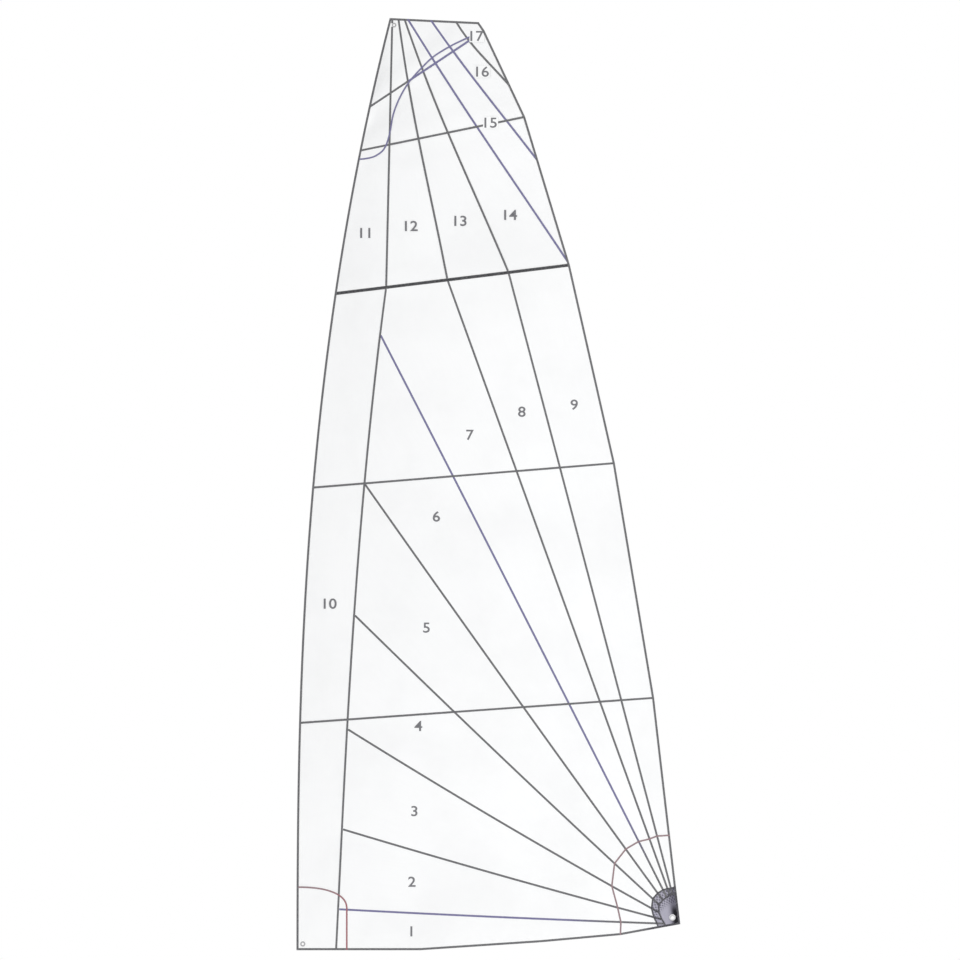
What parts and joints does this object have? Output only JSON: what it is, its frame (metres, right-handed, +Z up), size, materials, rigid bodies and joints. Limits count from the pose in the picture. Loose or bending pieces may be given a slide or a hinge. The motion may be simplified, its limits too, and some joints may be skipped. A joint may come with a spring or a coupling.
{
  "type": "square-top mainsail",
  "caption": "Square-top tri-radial mainsail in its flying shape, with full-length battens in pockets, corner patches, edge tapes, a luff bolt rope and pressed corner rings.",
  "frame": {"origin": "the tack corner, where the luff edge and the foot edge meet, on the line of the bolt rope", "axes": "+X aft along the foot, +Y to starboard, the side that the sail bellies to, +Z up the luff"},
  "size_m": [2.8, 0.3367, 6.8],
  "materials": {
    "sailcloth": "white woven sailcloth, satin",
    "patch_cloth": "white reinforcing sailcloth, satin",
    "edge_tape": "dark grey folded edge tape, matt",
    "rope": "off-white rope core, matt",
    "pocket_cloth": "pale grey pocket tape, matt",
    "batten_glass": "clear-coated glass fibre rod stock, smooth",
    "cap_plastic": "black moulded nylon",
    "ring_steel": "pressed stainless steel, satin"
  },
  "bodies": {
    "sail": {"panel_01": "sailcloth", "panel_02": "sailcloth", "panel_03": "sailcloth", "panel_04": "sailcloth", "panel_05": "sailcloth", "panel_06": "sailcloth", "panel_07": "sailcloth", "panel_08": "sailcloth", "panel_09": "sailcloth", "panel_10": "sailcloth", "panel_11": "sailcloth", "panel_12": "sailcloth", "panel_13": "sailcloth", "panel_14": "sailcloth", "panel_15": "sailcloth", "panel_16": "sailcloth", "panel_17": "sailcloth", "clew_core": "sailcloth", "head_core": "sailcloth", "tack_core": "sailcloth", "clew_patch_starboard": "patch_cloth", "clew_patch_port": "patch_cloth", "clew_fan_starboard": "patch_cloth", "clew_fan_port": "patch_cloth", "tack_patch_starboard": "patch_cloth", "tack_patch_port": "patch_cloth", "head_patch_starboard": "patch_cloth", "head_patch_port": "patch_cloth", "luff_tape": "edge_tape", "leech_tape": "edge_tape", "foot_tape": "edge_tape", "head_tape": "edge_tape", "bolt_rope": "rope", "pocket_lower": "pocket_cloth", "pocket_middle": "pocket_cloth", "pocket_upper": "pocket_cloth", "pocket_top": "pocket_cloth", "pocket_gaff": "pocket_cloth", "tack_ring_eyelet": "ring_steel", "tack_ring_washer": "ring_steel", "clew_ring_eyelet": "ring_steel", "clew_ring_washer": "ring_steel", "head_ring_eyelet": "ring_steel", "head_ring_washer": "ring_steel"},
    "lower_batten": {"batten_lower": "batten_glass", "luff_cap_lower": "cap_plastic", "leech_cap_lower": "cap_plastic"},
    "middle_batten": {"batten_middle": "batten_glass", "luff_cap_middle": "cap_plastic", "leech_cap_middle": "cap_plastic"},
    "upper_batten": {"batten_upper": "batten_glass", "luff_cap_upper": "cap_plastic", "leech_cap_upper": "cap_plastic"},
    "top_batten": {"batten_top": "batten_glass", "luff_cap_top": "cap_plastic", "leech_cap_top": "cap_plastic"},
    "gaff_batten": {"batten_gaff": "batten_glass", "luff_cap_gaff": "cap_plastic", "leech_cap_gaff": "cap_plastic"}
  },
  "joints": [
    {"name": "lower_batten_slide", "type": "hinge", "parent": "sail", "child": "lower_batten", "pos_m": [1.47954, -3.74077, 1.76109], "axis": [0.0705, 0, -0.9975], "range_deg": [0, 36.5]},
    {"name": "middle_batten_slide", "type": "hinge", "parent": "sail", "child": "middle_batten", "pos_m": [1.51103, -2.93754, 3.48731], "axis": [0.0807, 0, -0.9967], "range_deg": [0, 38.3]},
    {"name": "upper_batten_slide", "type": "hinge", "parent": "sail", "child": "upper_batten", "pos_m": [1.48107, -2.34207, 4.93552], "axis": [0.1207, 0, -0.9927], "range_deg": [0, 36.5]},
    {"name": "top_batten_slide", "type": "hinge", "parent": "sail", "child": "top_batten", "pos_m": [1.36332, -1.82535, 6.01666], "axis": [0.2005, 0, -0.9797], "range_deg": [0, 32.5]},
    {"name": "gaff_batten_slide", "type": "hinge", "parent": "sail", "child": "gaff_batten", "pos_m": [1.13795, -1.6551, 6.55333], "axis": [0.5539, 0, -0.8326], "range_deg": [0, 29]}
  ]
}
